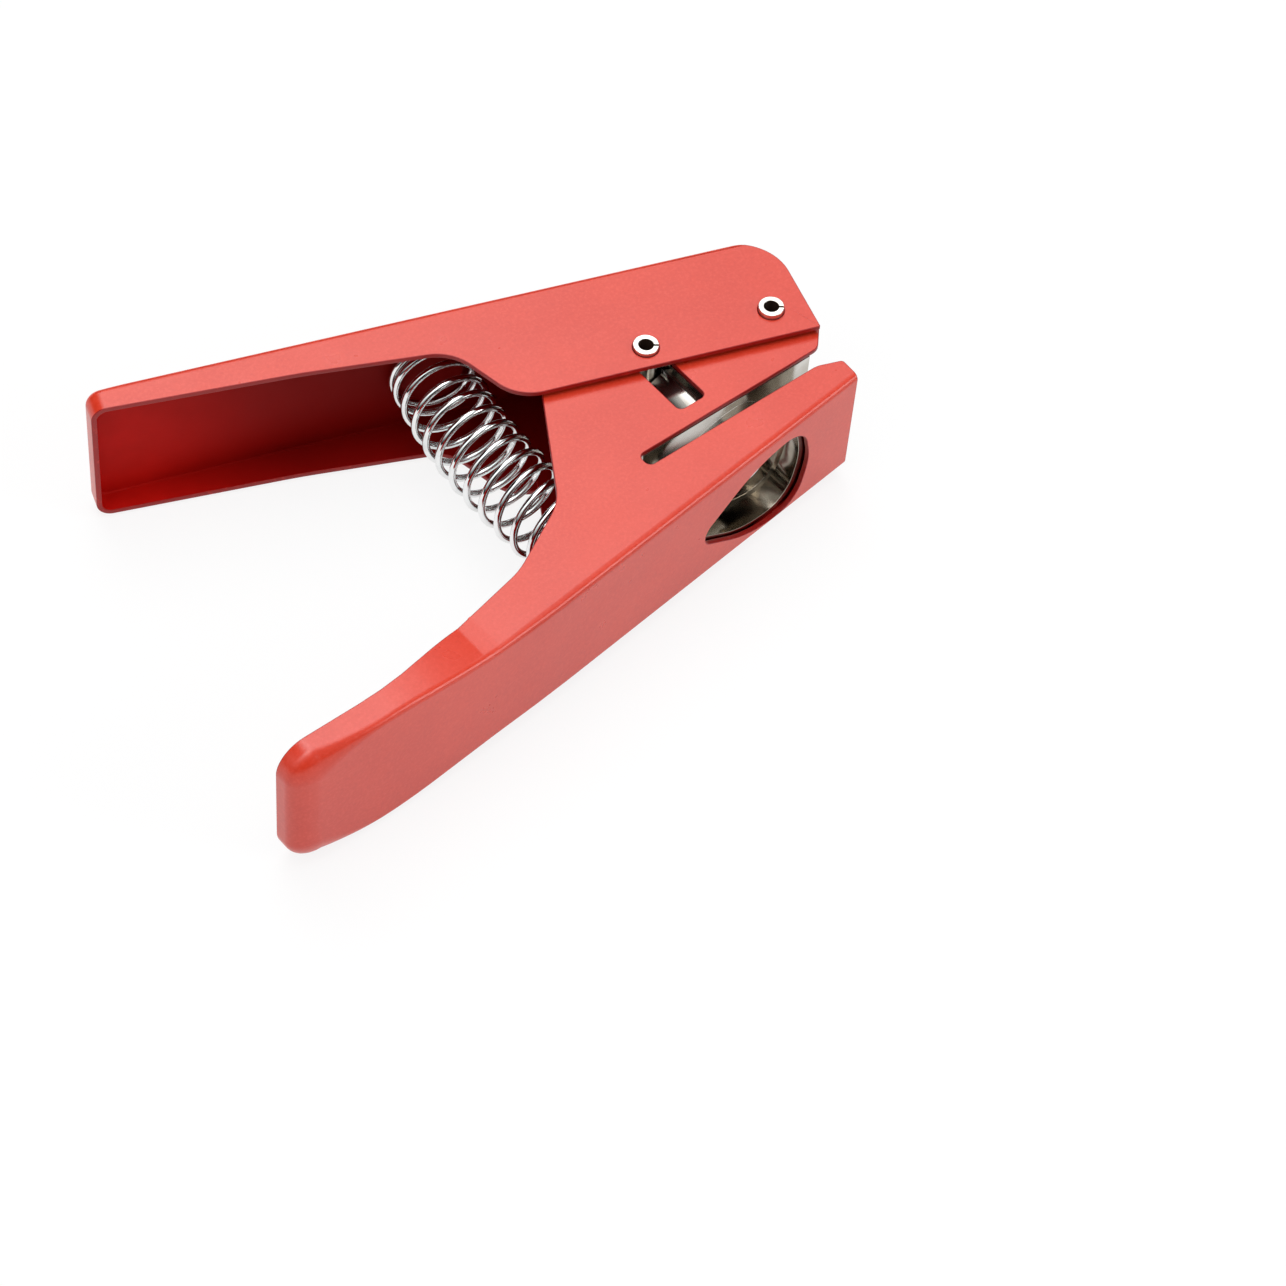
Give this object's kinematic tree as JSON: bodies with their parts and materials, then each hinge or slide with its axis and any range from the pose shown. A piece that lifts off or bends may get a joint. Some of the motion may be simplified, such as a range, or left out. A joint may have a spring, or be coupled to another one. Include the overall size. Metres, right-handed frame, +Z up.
{
  "type": "guitar pick punch",
  "caption": "Squeeze-handle punch of two pressed steel channels on a pivot pin: a bowed spring opens it, and a pick-shaped punch slides through a guide into a die.",
  "frame": {"origin": "centre of the box that holds the tool, on the plane that it lies on (its far pin ends)", "axes": "+X from the grips to the jaws, along the jaw slot; +Y from the frame to the lever; +Z up, along the pins"},
  "size_m": [0.1656, 0.105, 0.0364],
  "materials": {
    "red_paint": "satin, fine grain",
    "spring_chrome": "bright plated wire",
    "pin_steel": "polished, plated",
    "washer_steel": "plain",
    "tool_steel": "ground and polished"
  },
  "bodies": {
    "frame": {"lower_frame": "red_paint", "die": "tool_steel", "punch_guide": "tool_steel", "pivot_pin": "pin_steel", "pivot_washer_near": "washer_steel", "pivot_washer_far": "washer_steel", "spring_seat_lower": "red_paint", "handle_spring": "spring_chrome"},
    "lever": {"lever": "red_paint", "drive_pin": "pin_steel", "spring_seat_upper": "red_paint"},
    "punch": {"punch": "tool_steel"}
  },
  "joints": [
    {"name": "lever_pivot", "type": "hinge", "parent": "frame", "child": "lever", "pos_m": [0.07173, -0.0157, 0.0182], "axis": [0, 0, 1], "range_deg": [0, 22], "stiffness_Nm_per_rad": 1.6, "springref_deg": -14.32, "deforming": ["handle_spring"]},
    {"name": "punch_slide", "type": "slide", "parent": "frame", "child": "punch", "axis": [0, -1, 0], "range_m": [0, 0.01125]}
  ],
  "couplings": [
    {"joint": "punch_slide", "follows": "lever_pivot", "m_per_rad": 0.029229}
  ]
}
